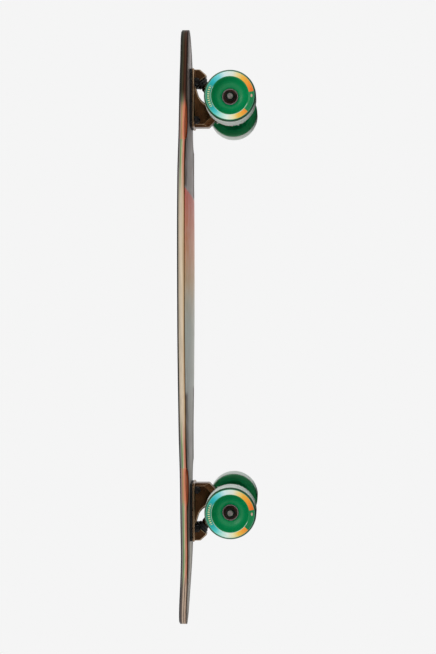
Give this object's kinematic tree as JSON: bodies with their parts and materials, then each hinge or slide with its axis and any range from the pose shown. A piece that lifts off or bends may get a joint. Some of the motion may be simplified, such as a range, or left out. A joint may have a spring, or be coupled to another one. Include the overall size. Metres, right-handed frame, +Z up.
{
  "type": "skateboard",
  "caption": "Pintail cruiser board: laminated deck with grip sheet and wheel wells, on sprung leaning trucks with soft wheels that spin freely and stand out past the rails.",
  "frame": {"origin": "on the floor that the wheels stand on, under the middle of the deck's length and width", "axes": "+X to the broad nose, +Y to the far rail, +Z up from the floor to the grip"},
  "size_m": [0.838, 0.249, 0.1096],
  "materials": {
    "deck_wood": "satin clear coat over laminated maple",
    "grip": "black abrasive sheet",
    "riser_rubber": "matte black",
    "baseplate_bronze": "satin bronze",
    "hanger_bronze": "satin bronze",
    "pivot_urethane": "matte black",
    "kingpin_steel": "zinc plated",
    "nut_steel": "zinc plated",
    "washer_steel": "zinc plated",
    "bushing_urethane": "satin green",
    "axle_steel": "bright",
    "wheel_urethane": "satin green with a ground riding surface",
    "bearing_steel": "polished",
    "spacer_steel": "turned",
    "axle_nut_dark": "black",
    "bolt_dark": "black",
    "lock_nut_dark": "black"
  },
  "bodies": {
    "board": {"deck": "deck_wood", "grip_tape": "grip", "riser_front": "riser_rubber", "baseplate_front": "baseplate_bronze", "pivot_cup_front": "pivot_urethane", "kingpin_front": "kingpin_steel", "kingpin_nut_front": "nut_steel", "washer_top_front": "washer_steel", "washer_bottom_front": "washer_steel", "bushing_board_front": "bushing_urethane", "bushing_road_front": "bushing_urethane", "deck_bolt_front_outer_near": "bolt_dark", "lock_nut_front_outer_near": "lock_nut_dark", "deck_bolt_front_outer_far": "bolt_dark", "lock_nut_front_outer_far": "lock_nut_dark", "deck_bolt_front_inner_near": "bolt_dark", "lock_nut_front_inner_near": "lock_nut_dark", "deck_bolt_front_inner_far": "bolt_dark", "lock_nut_front_inner_far": "lock_nut_dark", "riser_rear": "riser_rubber", "baseplate_rear": "baseplate_bronze", "pivot_cup_rear": "pivot_urethane", "kingpin_rear": "kingpin_steel", "kingpin_nut_rear": "nut_steel", "washer_top_rear": "washer_steel", "washer_bottom_rear": "washer_steel", "bushing_board_rear": "bushing_urethane", "bushing_road_rear": "bushing_urethane", "deck_bolt_rear_outer_near": "bolt_dark", "lock_nut_rear_outer_near": "lock_nut_dark", "deck_bolt_rear_outer_far": "bolt_dark", "lock_nut_rear_outer_far": "lock_nut_dark", "deck_bolt_rear_inner_near": "bolt_dark", "lock_nut_rear_inner_near": "lock_nut_dark", "deck_bolt_rear_inner_far": "bolt_dark", "lock_nut_rear_inner_far": "lock_nut_dark"},
    "front_truck": {"hanger_front": "hanger_bronze", "axle_front": "axle_steel", "spacer_front_near": "spacer_steel", "axle_nut_front_near": "axle_nut_dark", "spacer_front_far": "spacer_steel", "axle_nut_front_far": "axle_nut_dark"},
    "front_near_wheel": {"wheel_front_near": "wheel_urethane", "bearing_front_near_in": "bearing_steel", "bearing_front_near_out": "bearing_steel"},
    "front_far_wheel": {"wheel_front_far": "wheel_urethane", "bearing_front_far_in": "bearing_steel", "bearing_front_far_out": "bearing_steel"},
    "rear_truck": {"hanger_rear": "hanger_bronze", "axle_rear": "axle_steel", "spacer_rear_near": "spacer_steel", "axle_nut_rear_near": "axle_nut_dark", "spacer_rear_far": "spacer_steel", "axle_nut_rear_far": "axle_nut_dark"},
    "rear_near_wheel": {"wheel_rear_near": "wheel_urethane", "bearing_rear_near_in": "bearing_steel", "bearing_rear_near_out": "bearing_steel"},
    "rear_far_wheel": {"wheel_rear_far": "wheel_urethane", "bearing_rear_far_in": "bearing_steel", "bearing_rear_far_out": "bearing_steel"}
  },
  "joints": [
    {"name": "front_truck_steer", "type": "hinge", "parent": "board", "child": "front_truck", "pos_m": [0.29745, 0, 0.03857], "axis": [0.7707, 0, 0.6372], "range_deg": [-14, 14], "stiffness_Nm_per_rad": 80, "deforming": ["bushing_board_front", "bushing_road_front"]},
    {"name": "rear_truck_steer", "type": "hinge", "parent": "board", "child": "rear_truck", "pos_m": [-0.2341, 0, 0.03857], "axis": [-0.7707, 0, 0.6372], "range_deg": [-14, 14], "stiffness_Nm_per_rad": 80, "deforming": ["bushing_board_rear", "bushing_road_rear"]},
    {"name": "front_near_wheel_spin", "type": "hinge", "parent": "front_truck", "child": "front_near_wheel", "pos_m": [0.3117, -0.0855, 0.035], "axis": [0, 1, 0], "continuous": true},
    {"name": "front_far_wheel_spin", "type": "hinge", "parent": "front_truck", "child": "front_far_wheel", "pos_m": [0.3117, 0.0855, 0.035], "axis": [0, 1, 0], "continuous": true},
    {"name": "rear_near_wheel_spin", "type": "hinge", "parent": "rear_truck", "child": "rear_near_wheel", "pos_m": [-0.24835, -0.0855, 0.035], "axis": [0, 1, 0], "continuous": true},
    {"name": "rear_far_wheel_spin", "type": "hinge", "parent": "rear_truck", "child": "rear_far_wheel", "pos_m": [-0.24835, 0.0855, 0.035], "axis": [0, 1, 0], "continuous": true}
  ]
}
